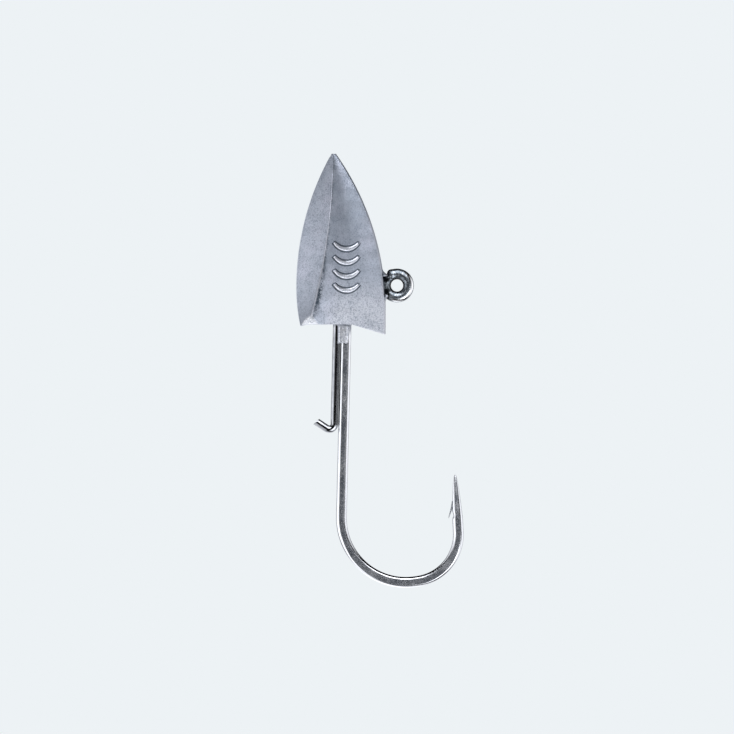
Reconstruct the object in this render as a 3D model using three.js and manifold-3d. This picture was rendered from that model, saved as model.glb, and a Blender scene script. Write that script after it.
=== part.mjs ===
// A jig head: an arrow-shaped head cast in lead around a forged hook and around a bent wire
// that keeps a soft bait from sliding down the shank.
//
// Millimetres, +Z up. The origin is the centre of the line eye. The nose of the head points up,
// the hook hangs below it with its point on the +X side, and both sides of Y = 0 are alike.
// Headings are in degrees in the XZ plane, 0 along +X and 90 along +Z, and a positive turn is
// to the left.

import * as THREE from 'three';
import { mergeVertices } from 'three/addons/utils/BufferGeometryUtils.js';
import Module from 'manifold-3d';

// ---- Driving dimensions ----

// Hook, one length of wire: eye, shank, bend, point and barb
const HOOK_WIRE = 1.1; // diameter
const FORGED_THICKNESS = 0.97; // across the flats pressed on both sides of the bare hook
const EYE_BORE = 1.2;
const SHANK_OFFSET = 4.99; // eye centre to shank, at the height of the eye
const SHANK_LEAN = 1.41; // degrees from upright, down and away from the point
const SHANK_LENGTH = 23.1; // from the height of the eye to the start of the bend
const LEG_BEND_RADIUS = 1.8; // where the shank turns towards the eye, inside the head
const HEEL_RADIUS = 6.43;
const HEEL_TURN = 99.5;
const BEND_FLAT = 0.3; // the straight bottom between the two arcs of the bend
const FRONT_RADIUS = 4.73;
const FRONT_TURN = 85.2;
const POINT_LEG = 5.78; // end of the bend to the tip
const POINT_TAPER = 4.45; // length of the ground point
const BARB_FROM_TIP = 3.0; // tip of the hook to the root of the barb
const BARB_LENGTH = 1.42;
const BARB_STAND = 0.4; // how far the barb stands off the wire
const BARB_THICKNESS = 0.5;

// Bait keeper, a thinner wire beside the shank
const KEEPER_WIRE = 0.76;
const KEEPER_GAP = 0.05; // between the keeper and the shank
const KEEPER_TOP = 1.6; // below the eye, where the cast-in end starts
const KEEPER_DROP = 13.88; // below the eye, where the end turns up
const KEEPER_BEND_RADIUS = 0.5;
const KEEPER_TURN = 122;
const KEEPER_BARB = 1.33; // straight end that holds the bait

// Head, cast in lead
const NOSE_HEIGHT = 13.17; // above the eye
const NOSE_OFFSET = 6.33; // nose to the eye, along X
const NOSE_BLUNTING = 0.2; // half the width and half the thickness of the flat tip
const NOSE_BACK_SPREAD = 0.16; // half its thickness at the back edge
const BELLY_REACH = 10.07; // widest point of the belly to the eye, along X
const BELLY_DROP = 0.19; // that point's depth below the eye
const KEEL_REACH = 9.64; // keel's bottom corner to the eye, along X
const KEEL_LIP = 0.2; // how far that corner hangs below the flat base
const EYE_SETBACK = 0.02; // straight back edge in front of the middle of the ring's wire
const BACK_DROP = 2.4; // where the back edge turns straight, below the eye
const BASE_DROP = 3.89; // flat base below the eye
const BASE_FLAT_FROM = 9.0; // the flat part of the base, by its two distances to the eye
const BASE_FLAT_TO = 4.5;
const TAIL_SLOPE = 17.07; // degrees, of the base behind its flat part
const RIDGE_REACH = 8.77; // side ridge to the eye, at the base
const RIDGE_HALF_THICKNESS = 3.1;
const RIDGE_FULL_DROP = 2.0; // depth below the eye at which the head is at its thickest
const BACK_EDGE_WALL = 0.35; // lead over the hook wire at the back edge
const BACK_EDGE_ROUND = 0.15;
const FLANK_HOLLOW = 0.42; // how deep the flanks are dished
const DISH_FADE = 0.85; // of half a wave, that the dish runs through from the nose to the base
const CORNER_RISE = 0.9; // how far up the ridge the bottom corner is cut off
const CORNER_RUN = 0.95; // how far along the base it is cut off
const NECK_LENGTH = 1.86; // lead that runs down over the wires below the base
const NECK_WALL = 0.2; // lead over the hook wire in the neck
const NECK_OVER_KEEPER = 0.2; // how far the neck's front reaches over the keeper
const NECK_PAST_SHANK = 0.3; // from the middle of the shank to the neck's rear face
const NECK_ROUND = 0.25;

// Gill relief, a column of raised crescents on each flank
const GILL_COUNT = 4;
const GILL_PITCH = 1.38;
const GILL_RADIUS = 1.5;
const GILL_WIDTH = 0.42;
const GILL_HALF_ANGLE = 62; // degrees to each side of straight down
const GILL_HEIGHT = 0.22; // above the flank
const GILL_REACH = 5.05; // the crescents' centres to the eye, along X
const GILL_TOP = 4.9; // the first centre above the eye

// Working allowances
const CAST_CLEARANCE = 0.04; // between the lead and each wire cast in it
const SINK = 0.3; // how far joined solids run into each other
const POINT_ROOT_SHARE = 0.98; // the ground point's root, as a share of the wire it runs into
const POINT_TAIL_SHARE = 0.9; // and the end of the point, inside the wire
const BARB_ROOT_SHARE = 0.97; // how far out the barb's faces meet the point, of its radius
const HEAD_OVERRUN = 3; // of the uncut head below its base
const CUTTER = 30; // size of the blocks that cut flats and ends
const CORNER_CUTTER = 10; // size of the blocks that cut off the bottom corners
const SAME_POINT = 1e-5; // corners closer than this are one

// Fineness of the curved surfaces
const WIRE_SIDES = 16;
const EYE_SEGMENTS = 32;
const POINT_RINGS = 8;
const DEGREES_PER_STEP = 6.5;
const HEAD_LEVELS = 28;
const FLANK_STEPS = 8;
const BELLY_STEPS = 2;
const EDGE_STEPS = 4;
const GILL_SEGMENTS = 10;
const NECK_SEGMENTS = 4;

// Places that follow from the dimensions
const EYE_RADIUS = (EYE_BORE + HOOK_WIRE) / 2; // to the middle of the wire
const BASE_Z = -BASE_DROP;
const KEEL_Z = BASE_Z - KEEL_LIP;
const NOSE_Z = NOSE_HEIGHT;
const BACK_X = -EYE_RADIUS - EYE_SETBACK;

const wasm = await Module();
wasm.setup();

// ---- Joining and cutting ----

// A closed geometry as a solid that can be joined and cut.
function solid(geometry) {
  const bare = geometry.index ? geometry.toNonIndexed() : geometry.clone();
  bare.deleteAttribute('normal');
  bare.deleteAttribute('uv');
  const merged = mergeVertices(bare, SAME_POINT);
  return new wasm.Manifold(new wasm.Mesh({
    numProp: 3,
    vertProperties: new Float32Array(merged.attributes.position.array),
    triVerts: new Uint32Array(merged.index.array),
  }));
}

function geometryOf(body) {
  const mesh = body.getMesh();
  const geometry = new THREE.BufferGeometry();
  geometry.setAttribute('position', new THREE.BufferAttribute(mesh.vertProperties, 3));
  geometry.setIndex(new THREE.BufferAttribute(mesh.triVerts, 1));
  geometry.computeVertexNormals();
  return geometry;
}

// An outline drawn in X and Z, as a plate of the given thickness centred on Y = 0.
function plate(shape, thickness, curveSegments = 1) {
  const geometry = new THREE.ExtrudeGeometry(shape, {
    depth: thickness,
    bevelEnabled: false,
    curveSegments,
  });
  geometry.rotateX(Math.PI / 2);
  geometry.translate(0, thickness / 2, 0);
  return solid(geometry);
}

// ---- Wires ----

// A wire's middle line in the XZ plane, laid down as a pen would draw it. Its stations are one
// to a straight run and one to every few degrees of a bend, and t counts stations, not length.
class WirePath extends THREE.Curve {
  constructor(x, z, heading) {
    super();
    this.stations = [{ x, z, heading: THREE.MathUtils.degToRad(heading) }];
  }

  get end() {
    return this.stations[this.stations.length - 1];
  }

  get steps() {
    return this.stations.length - 1;
  }

  // One straight stroke, drawn along one heading and left at another.
  stroke(length, along, heading) {
    const { x, z } = this.end;
    this.stations.push({
      x: x + length * Math.cos(along),
      z: z + length * Math.sin(along),
      heading,
    });
  }

  run(length) {
    this.stroke(length, this.end.heading, this.end.heading);
    return this;
  }

  bend(radius, turn) {
    const count = Math.max(2, Math.round(Math.abs(turn) / DEGREES_PER_STEP));
    const step = THREE.MathUtils.degToRad(turn) / count;
    const chord = 2 * radius * Math.sin(Math.abs(step) / 2);
    for (let i = 0; i < count; i += 1) {
      const { heading } = this.end;
      this.stroke(chord, heading + step / 2, heading + step);
    }
    return this;
  }

  station(t) {
    return this.stations[Math.round(t * this.steps)];
  }

  getUtoTmapping(u) {
    return u;
  }

  getPoint(t, target = new THREE.Vector3()) {
    const { x, z } = this.station(t);
    return target.set(x, 0, z);
  }

  getTangent(t, target = new THREE.Vector3()) {
    const { heading } = this.station(t);
    return target.set(Math.cos(heading), 0, Math.sin(heading));
  }
}

function roundWire(path, radius) {
  const section = [];
  for (let i = 0; i < WIRE_SIDES; i += 1) {
    const angle = (2 * Math.PI * i) / WIRE_SIDES;
    section.push(new THREE.Vector2(radius * Math.cos(angle), radius * Math.sin(angle)));
  }
  return solid(new THREE.ExtrudeGeometry(new THREE.Shape(section), {
    steps: path.steps,
    extrudePath: path,
    bevelEnabled: false,
  }));
}

// X of the shank's middle line at a height.
function shankX(z) {
  return -SHANK_OFFSET + z * Math.tan(THREE.MathUtils.degToRad(SHANK_LEAN));
}

// From the ring of the eye, back into the head, down the shank and round the bend.
function hookPath(pointLeg) {
  const turn = 90 - SHANK_LEAN;
  const corner = LEG_BEND_RADIUS * Math.tan(THREE.MathUtils.degToRad(turn / 2));
  return new WirePath(-EYE_RADIUS, 0, 180)
    .run(SHANK_OFFSET - EYE_RADIUS - corner)
    .bend(LEG_BEND_RADIUS, turn)
    .run(SHANK_LENGTH - corner)
    .bend(HEEL_RADIUS, HEEL_TURN)
    .run(BEND_FLAT)
    .bend(FRONT_RADIUS, FRONT_TURN)
    .run(pointLeg);
}

// The hook's wire with its ring, every surface grown outwards by the given amount.
function hookWire(growth) {
  const radius = HOOK_WIRE / 2 + growth;
  const ring = new THREE.TorusGeometry(EYE_RADIUS, radius, WIRE_SIDES, EYE_SEGMENTS);
  ring.rotateX(Math.PI / 2);
  return roundWire(hookPath(POINT_LEG - POINT_TAPER), radius).add(solid(ring));
}

// A place on the point leg, by its distance back from the tip and its offset towards the shank.
function onPointLeg(fromTip, offset) {
  const { x, z, heading } = hookPath(POINT_LEG).end;
  return new THREE.Vector2(
    x - fromTip * Math.cos(heading) - offset * Math.sin(heading),
    z - fromTip * Math.sin(heading) + offset * Math.cos(heading),
  );
}

// The ground radius of the point, a parabola: it grows with the square root of the distance.
function pointRadius(fromTip) {
  return (HOOK_WIRE / 2) * Math.sqrt(fromTip / POINT_TAPER);
}

// Ground to a parabola at the tip, its root a hair slimmer than the wire that it runs into.
function hookPoint() {
  const profile = [];
  for (let i = 0; i <= POINT_RINGS; i += 1) {
    const fromTip = POINT_TAPER * (i / POINT_RINGS) ** 2;
    profile.push(new THREE.Vector2(pointRadius(fromTip) * POINT_ROOT_SHARE, -fromTip));
  }
  const tail = (HOOK_WIRE / 2) * POINT_TAIL_SHARE;
  profile.push(new THREE.Vector2(tail, -POINT_TAPER - SINK));
  profile.push(new THREE.Vector2(0, -POINT_TAPER - SINK));
  const cone = new THREE.LatheGeometry(profile.reverse(), WIRE_SIDES);
  const tip = onPointLeg(0, 0);
  cone.rotateX(Math.PI / 2);
  cone.rotateY(-(hookPath(POINT_LEG).end.heading - Math.PI / 2));
  cone.translate(tip.x, 0, tip.y);
  return solid(cone);
}

// A sliver raised from the inside of the point, its tip facing back down the leg.
function barb() {
  const root = pointRadius(BARB_FROM_TIP);
  const end = BARB_FROM_TIP + BARB_LENGTH;
  const crotch = end - BARB_STAND;
  const outline = new THREE.Shape([
    onPointLeg(BARB_FROM_TIP - SINK, root / 2),
    onPointLeg(BARB_FROM_TIP, root * BARB_ROOT_SHARE),
    onPointLeg(end, pointRadius(end) + BARB_STAND),
    onPointLeg(crotch, pointRadius(crotch) * BARB_ROOT_SHARE),
    onPointLeg(crotch, root / 2),
  ]);
  return plate(outline, BARB_THICKNESS);
}

// The hook, with flats pressed on both sides from below the neck round to the point.
function hook() {
  const top = BASE_Z - NECK_LENGTH - SINK;
  const press = new THREE.BoxGeometry(CUTTER, CUTTER, CUTTER);
  const aside = (FORGED_THICKNESS + CUTTER) / 2;
  const lower = top - CUTTER / 2;
  const blank = hookWire(0).add(hookPoint()).add(barb());
  return blank
    .subtract(solid(press.clone().translate(0, aside, lower)))
    .subtract(solid(press.clone().translate(0, -aside, lower)));
}

// Beside the shank and parallel to it, with a short end turned up and outwards.
function keeperWire(growth) {
  const lean = THREE.MathUtils.degToRad(SHANK_LEAN);
  const apart = (HOOK_WIRE + KEEPER_WIRE) / 2 + KEEPER_GAP;
  const x = shankX(-KEEPER_TOP) - apart / Math.cos(lean);
  const path = new WirePath(x, -KEEPER_TOP + growth, -90 - SHANK_LEAN)
    .run((KEEPER_DROP - KEEPER_TOP) / Math.cos(lean) + growth)
    .bend(KEEPER_BEND_RADIUS, -KEEPER_TURN)
    .run(KEEPER_BARB);
  return roundWire(path, KEEPER_WIRE / 2 + growth);
}

// ---- Head ----

// A value against height, as a circle's arc: it stands level at one height and reaches a second
// value at another.
function arcValue(levelZ, levelValue, endZ, endValue) {
  const rise = endValue - levelValue;
  const radius = (rise * rise + (endZ - levelZ) ** 2) / (2 * Math.abs(rise));
  return (z) => {
    const sagitta = radius - Math.sqrt(Math.max(radius * radius - (z - levelZ) ** 2, 0));
    return levelValue + Math.sign(rise) * sagitta;
  };
}

const bellyAbove = arcValue(-BELLY_DROP, -BELLY_REACH, NOSE_Z, -NOSE_OFFSET - NOSE_BLUNTING);
const bellyBelow = arcValue(-BELLY_DROP, -BELLY_REACH, KEEL_Z, -KEEL_REACH);
const ridgeLine = arcValue(NOSE_Z, -NOSE_OFFSET - NOSE_BLUNTING / 2, BASE_Z, -RIDGE_REACH);
const backLine = arcValue(-BACK_DROP, BACK_X, NOSE_Z, -NOSE_OFFSET + NOSE_BLUNTING);
const ridgeSpread = arcValue(-RIDGE_FULL_DROP, RIDGE_HALF_THICKNESS, NOSE_Z, NOSE_BLUNTING);
const backSpread = arcValue(BASE_Z, HOOK_WIRE / 2 + BACK_EDGE_WALL, NOSE_Z, NOSE_BACK_SPREAD);

function bellyX(z) {
  return z > -BELLY_DROP ? bellyAbove(z) : bellyBelow(z);
}

function backX(z) {
  return backLine(Math.max(z, -BACK_DROP));
}

function ridgeY(z) {
  return ridgeSpread(Math.max(z, -RIDGE_FULL_DROP));
}

function backY(z) {
  return backSpread(Math.max(z, BASE_Z));
}

// The dish of the flanks fades out at the nose and flattens again near the base.
function flankDish(z) {
  const down = (NOSE_Z - z) / (NOSE_Z - BASE_Z);
  return FLANK_HOLLOW * Math.max(Math.sin(Math.PI * Math.min(down, 1) * DISH_FADE), 0);
}

// Where the rounding of the back edge starts.
function edgeX(z) {
  const whole = backX(z) - ridgeLine(z);
  return backX(z) - Math.min(BACK_EDGE_ROUND, whole / 2);
}

// Half the head's thickness on the flank at a height, by its share of the way to the back edge:
// a straight line from ridge to edge, less a parabola that is deepest halfway.
function flankY(z, share) {
  const straight = THREE.MathUtils.lerp(ridgeY(z), backY(z), share);
  return straight - flankDish(z) * 4 * share * (1 - share);
}

// One side of the head's outline seen from above, from the keel to the back edge.
function halfSection(z, growth) {
  const points = [];
  for (let i = 0; i < BELLY_STEPS; i += 1) {
    const share = i / BELLY_STEPS;
    const x = THREE.MathUtils.lerp(bellyX(z), ridgeLine(z), share);
    points.push([x, (ridgeY(z) + growth) * share]);
  }
  for (let i = 0; i < FLANK_STEPS; i += 1) {
    const share = i / FLANK_STEPS;
    const x = THREE.MathUtils.lerp(ridgeLine(z), edgeX(z), share);
    points.push([x, flankY(z, share) + growth]);
  }
  const round = backX(z) - edgeX(z);
  for (let i = 0; i <= EDGE_STEPS; i += 1) {
    const angle = ((Math.PI / 2) * i) / EDGE_STEPS;
    const x = edgeX(z) + round * Math.sin(angle);
    points.push([x, (backY(z) + growth) * Math.cos(angle)]);
  }
  return points;
}

// The whole outline at a height: out along the front side and home along the mirrored one.
function section(z, growth) {
  const front = halfSection(z, growth);
  front[front.length - 1][1] = 0;
  const rear = front.slice(1, -1).reverse();
  return [...front.map(([x, y]) => [x, -y, z]), ...rear.map(([x, y]) => [x, y, z])];
}

// The head before its ends are cut: sections stacked from below the base up to the nose, with a
// fan to close each end. The flanks can be grown outwards, for relief that follows them.
function headBlank(growth) {
  const lowest = BASE_Z - HEAD_OVERRUN;
  const rings = [];
  for (let i = 0; i <= HEAD_LEVELS; i += 1) {
    rings.push(section(THREE.MathUtils.lerp(lowest, NOSE_Z, i / HEAD_LEVELS), growth));
  }
  const around = rings[0].length;
  const points = rings.flat();
  const faces = [];
  for (let level = 0; level < HEAD_LEVELS; level += 1) {
    for (let i = 0; i < around; i += 1) {
      const next = (i + 1) % around;
      const [a, b] = [level * around + i, level * around + next];
      faces.push([a, b, b + around], [a, b + around, a + around]);
    }
  }
  for (const [level, z] of [[0, lowest], [HEAD_LEVELS, NOSE_Z]]) {
    const middle = points.push([(ridgeLine(z) + backX(z)) / 2, 0, z]) - 1;
    for (let i = 0; i < around; i += 1) {
      const [a, b] = [level * around + i, level * around + ((i + 1) % around)];
      faces.push(level === 0 ? [b, a, middle] : [a, b, middle]);
    }
  }
  const geometry = new THREE.BufferGeometry();
  geometry.setAttribute('position', new THREE.Float32BufferAttribute(points.flat(), 3));
  geometry.setIndex(faces.flat());
  return solid(geometry);
}

// What lies under the base: a short rise from the keel, a flat stretch, and the sloping tail.
function underBase() {
  const slope = Math.tan(THREE.MathUtils.degToRad(TAIL_SLOPE));
  const beyond = CUTTER / 2;
  return plate(new THREE.Shape([
    new THREE.Vector2(-KEEL_REACH - beyond, KEEL_Z),
    new THREE.Vector2(-KEEL_REACH, KEEL_Z),
    new THREE.Vector2(-BASE_FLAT_FROM, BASE_Z),
    new THREE.Vector2(-BASE_FLAT_TO, BASE_Z),
    new THREE.Vector2(-BASE_FLAT_TO + beyond, BASE_Z - beyond * slope),
    new THREE.Vector2(-BASE_FLAT_TO + beyond, BASE_Z - beyond),
    new THREE.Vector2(-KEEL_REACH - beyond, BASE_Z - beyond),
  ]), CUTTER);
}

// The block that cuts off the bottom corner of a ridge, side -1 at the front and 1 at the rear.
function cornerCut(side) {
  const keel = new THREE.Vector3(-KEEL_REACH, 0, KEEL_Z);
  const high = BASE_Z + CORNER_RISE;
  const up = new THREE.Vector3(ridgeLine(high), side * ridgeY(high), high);
  const ridge = ridgeLine(BASE_Z);
  const share = CORNER_RUN / (edgeX(BASE_Z) - ridge);
  const along = new THREE.Vector3(ridge + CORNER_RUN, side * flankY(BASE_Z, share), BASE_Z);
  const outward = up.sub(keel).cross(along.sub(keel)).normalize();
  if (outward.z > 0) outward.negate();
  const block = new THREE.BoxGeometry(CORNER_CUTTER, CORNER_CUTTER, CORNER_CUTTER);
  const upright = new THREE.Vector3(0, 0, 1);
  block.applyQuaternion(new THREE.Quaternion().setFromUnitVectors(upright, outward));
  const centre = keel.addScaledVector(outward, CORNER_CUTTER / 2);
  block.translate(centre.x, centre.y, centre.z);
  return solid(block);
}

// Raised crescents down each flank, their tips to the nose.
function gills() {
  const half = THREE.MathUtils.degToRad(GILL_HALF_ANGLE);
  const from = -Math.PI / 2 - half;
  const to = -Math.PI / 2 + half;
  const skin = headBlank(GILL_HEIGHT);
  const crescents = [];
  for (let i = 0; i < GILL_COUNT; i += 1) {
    const z = GILL_TOP - i * GILL_PITCH;
    const outline = new THREE.Shape();
    outline.absarc(-GILL_REACH, z, GILL_RADIUS, from, to, false);
    outline.absarc(-GILL_REACH, z + GILL_WIDTH, GILL_RADIUS, to, from, true);
    outline.closePath();
    crescents.push(plate(outline, CUTTER, GILL_SEGMENTS).intersect(skin));
  }
  return crescents.reduce((all, one) => all.add(one));
}

// The lead that the mould leaves around the two wires below the base.
function neck() {
  const lean = THREE.MathUtils.degToRad(SHANK_LEAN);
  const deep = HOOK_WIRE / 2 + NECK_WALL;
  const front = -(HOOK_WIRE / 2 + KEEPER_GAP + NECK_OVER_KEEPER);
  const round = NECK_PAST_SHANK - NECK_ROUND;
  const outline = new THREE.Shape();
  outline.moveTo(front, -deep);
  outline.lineTo(round, -deep);
  outline.absarc(round, NECK_ROUND - deep, NECK_ROUND, -Math.PI / 2, 0, false);
  outline.absarc(round, deep - NECK_ROUND, NECK_ROUND, 0, Math.PI / 2, false);
  outline.lineTo(front, deep);
  outline.closePath();
  const collar = new THREE.ExtrudeGeometry(outline, {
    depth: NECK_LENGTH + SINK,
    bevelEnabled: false,
    curveSegments: NECK_SEGMENTS,
  });
  const foot = BASE_Z - NECK_LENGTH;
  collar.rotateY(lean);
  collar.translate(shankX(foot), 0, foot);
  return solid(collar);
}

// The casting: trimmed at the base, with the relief and the neck, and hollow where the wires lie.
function leadHead() {
  return headBlank(0)
    .subtract(underBase())
    .subtract(cornerCut(-1))
    .subtract(cornerCut(1))
    .add(gills())
    .add(neck())
    .subtract(hookWire(CAST_CLEARANCE))
    .subtract(keeperWire(CAST_CLEARANCE));
}

// ---- The part ----

function metal(color, roughness) {
  return new THREE.MeshStandardMaterial({ color, roughness, metalness: 1 });
}

function piece(name, body, material) {
  const mesh = new THREE.Mesh(geometryOf(body), material);
  mesh.name = name;
  return mesh;
}

const jigHead = new THREE.Group();
jigHead.add(piece('lead_head', leadHead(), metal(0xa9b0ba, 0.45)));
jigHead.add(piece('hook', hook(), metal(0x8d9195, 0.3)));
jigHead.add(piece('bait_keeper', keeperWire(0), metal(0x6f7376, 0.2)));

export default jigHead;
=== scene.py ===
# A jig head, as it is made: a weight cast in lead around a forged hook, and a bait keeper of
# spring wire beside the shank. The origin is the middle of the line eye, the nose points up
# along +Z, and the hook's point is on the +X side. Sizes are in millimetres. A place is its x
# and z in the plane of the hook, and a bend is its radius and its angle in degrees.

import bpy
import numpy as np
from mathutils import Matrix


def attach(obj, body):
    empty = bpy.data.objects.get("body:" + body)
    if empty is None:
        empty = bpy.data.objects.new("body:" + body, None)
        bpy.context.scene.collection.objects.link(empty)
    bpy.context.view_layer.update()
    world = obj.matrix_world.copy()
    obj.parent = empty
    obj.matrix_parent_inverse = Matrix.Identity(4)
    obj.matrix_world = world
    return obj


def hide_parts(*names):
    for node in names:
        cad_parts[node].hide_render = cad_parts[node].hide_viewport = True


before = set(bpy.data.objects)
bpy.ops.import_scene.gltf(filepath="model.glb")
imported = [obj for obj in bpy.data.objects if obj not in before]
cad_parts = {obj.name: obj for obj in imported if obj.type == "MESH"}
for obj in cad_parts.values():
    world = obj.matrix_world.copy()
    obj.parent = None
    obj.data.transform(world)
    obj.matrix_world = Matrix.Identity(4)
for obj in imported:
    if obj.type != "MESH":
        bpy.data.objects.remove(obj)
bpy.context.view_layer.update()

# ---- The lead weight ----
# An arrow head cast in lead alloy in a two-part mould, with belly facets that meet at a keel,
# dished flanks, bottom corners cut off, and a short neck that runs down over both wires. The
# mould leaves a fine parting line along the keel and the back edge.

MM = 0.001

NOSE = (-6.33, 13.17)
NOSE_BLUNTING = 0.2
NOSE_BACK_SPREAD = 0.16
BELLY = (-10.05, -0.19)
KEEL = (-9.62, -4.09)
BACK_X = -1.17
BACK_TURN_Z = -2.4
BASE_Z = -3.89
BASE_FLAT_X = (-9.0, -4.5)
TAIL_RUN = 10
TAIL_SLOPE = np.radians(17.07)
RIDGE_X = -8.77
RIDGE_Y = 3.1
RIDGE_FULL_Z = -2.0
BACK_Y = 0.9
BACK_ROUND = 0.15
FLANK_HOLLOW = 0.42
DISH_FADE = 0.85

SHANK_X = -4.99
SHANK_LEAN = np.radians(1.41)
WIRE_RADIUS = 0.541
EYE_RADIUS = 1.15


def arc_value(level_z, level_value, end_z, end_value):
    """A value against height that follows a circle's arc: level at one height, and through a
    second value at another. It's the level value plus the sagitta of that circle."""
    rise = end_value - level_value
    radius = (rise**2 + (end_z - level_z) ** 2) / (2 * abs(rise))

    def value(z):
        inside = np.maximum(radius**2 - (z - level_z) ** 2, 0)
        return level_value + np.sign(rise) * (radius - np.sqrt(inside))

    return value


belly_above = arc_value(BELLY[1], BELLY[0], NOSE[1], NOSE[0] - NOSE_BLUNTING)
belly_below = arc_value(BELLY[1], BELLY[0], KEEL[1], KEEL[0])
ridge_line = arc_value(NOSE[1], NOSE[0] - NOSE_BLUNTING / 2, BASE_Z, RIDGE_X)
back_line = arc_value(BACK_TURN_Z, BACK_X, NOSE[1], NOSE[0] + NOSE_BLUNTING)
ridge_spread = arc_value(RIDGE_FULL_Z, RIDGE_Y, NOSE[1], NOSE_BLUNTING)
back_spread = arc_value(BASE_Z, BACK_Y, NOSE[1], NOSE_BACK_SPREAD)


def half_outline(z, belly_share, flank_share, edge_angle):
    """One side of the head's outline at the heights z: along the belly facet by its share, then
    the flank by its share, then round the back edge by its angle. The flank is a straight line
    from ridge to back edge, less a parabola that is deepest halfway."""
    belly = np.where(z > BELLY[1], belly_above(z), belly_below(z))
    ridge = ridge_line(z)
    back = back_line(np.maximum(z, BACK_TURN_Z))
    ridge_y = ridge_spread(np.maximum(z, RIDGE_FULL_Z))
    back_y = back_spread(np.maximum(z, BASE_Z))
    down = np.clip((NOSE[1] - z) / (NOSE[1] - BASE_Z), 0, 1)
    dish = FLANK_HOLLOW * np.maximum(np.sin(np.pi * down * DISH_FADE), 0)
    rounding = np.minimum(BACK_ROUND, (back - ridge) / 2)
    edge = back - rounding
    s = flank_share
    x = belly + (ridge - belly) * belly_share
    x = x + (edge - ridge) * s + rounding * np.sin(edge_angle)
    flank_y = ridge_y + (back_y - ridge_y) * s - dish * 4 * s * (1 - s)
    y = np.where(s > 0, flank_y, ridge_y * belly_share) * np.cos(edge_angle)
    return x, y


def base_height(x):
    """Height of the underside at x, in straight lines: a short rise from the keel, a flat
    stretch, and a tail that falls by the tangent of its slope."""
    stops = [KEEL[0], *BASE_FLAT_X, BASE_FLAT_X[1] + TAIL_RUN]
    return np.interp(x, stops, [KEEL[1], BASE_Z, BASE_Z, BASE_Z - TAIL_RUN * np.tan(TAIL_SLOPE)])


def shank_x(z):
    """Where the middle of the shank is at the height z: a straight line at the shank's lean."""
    return SHANK_X + z * np.tan(SHANK_LEAN)


def ramp(value, low, high):
    """0 below low and 1 above high, with a smooth cubic step in between."""
    t = np.clip((value - low) / (high - low), 0, 1)
    return t * t * (3 - 2 * t)


def spaced(stops, gaps):
    """Positions from the first stop to the last. The gap between neighbours is the given one at
    each stop and changes evenly in between: equal steps of the integral of one over the gap."""
    fine = np.linspace(stops[0], stops[-1], 6000)
    pace = 1 / np.interp(fine, stops, gaps)
    count = np.concatenate([[0], np.cumsum((pace[1:] + pace[:-1]) / 2 * np.diff(fine))])
    return np.interp(np.linspace(0, count[-1], int(round(count[-1])) + 1), count, fine)


BELLY_COLUMNS = 23
FLANK_COLUMNS = 101
FLANK_CROWDING = 0.3
EDGE_COLUMNS = 11
HEAD_DEPTH = NOSE[1] - BASE_Z
HEAD_STOPS = [0, 0.6, 6.0, 7.6, 14.2, 15.8, HEAD_DEPTH]
HEAD_GAPS = [0.05, 0.1, 0.1, 0.058, 0.058, 0.09, 0.05]


def head_sides():
    """The skin from the nose down to the rim of the base, as a grid of rows and columns. Each
    column keeps its share of the outline, and runs from the nose to where it meets the base.
    Rows are closest at the crescents and at both ends, and columns at the crescents, the keel
    and the ridges."""
    belly = (1 - np.cos(np.pi * np.linspace(0, 1, BELLY_COLUMNS))) / 2
    even = np.linspace(0, 1, FLANK_COLUMNS)
    flank = even + FLANK_CROWDING * np.sin(2 * np.pi * even) / (2 * np.pi)
    edge = np.radians(90) * np.sin(np.radians(90) * np.linspace(0, 1, EDGE_COLUMNS))
    belly_share = np.concatenate([belly, np.ones(len(flank) + len(edge) - 2)])
    flank_share = np.concatenate([np.zeros(len(belly)), flank[1:], np.ones(len(edge) - 1)])
    edge_angle = np.concatenate([np.zeros(len(belly) + len(flank) - 1), edge[1:]])

    rim = np.full(len(belly_share), BASE_Z)
    for _ in range(8):
        rim = base_height(half_outline(rim, belly_share, flank_share, edge_angle)[0])
    fall = spaced(HEAD_STOPS, HEAD_GAPS)
    z = NOSE[1] + (rim - NOSE[1]) * (fall / HEAD_DEPTH)[:, None]
    x, y = half_outline(z, belly_share, flank_share, edge_angle)
    y[:, -1] = 0
    front = np.stack([x, -y, z], -1)
    rear = np.stack([x, y, z], -1)[:, -2:0:-1]
    return np.concatenate([front, rear], 1)


NECK_FOOT_Z = -5.75
NECK_HALF_LENGTH = 0.55
NECK_HALF_WIDTH = 0.75
NECK_SHIFT = -0.25
NECK_SQUARENESS = 5
NECK_FLARE = 0.3
NECK_FLARE_DEPTH = 0.34
NECK_TAPER = 0.05
NECK_DEPTH = BASE_Z - NECK_FOOT_Z
NECK_STOPS = [0, 0.5, 1.6, NECK_DEPTH]
NECK_GAPS = [0.035, 0.07, 0.07, 0.04]
FOOT_DIMPLE = 0.12
UNDERSIDE_ROWS = 30
FOOT_ROWS = 9


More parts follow.
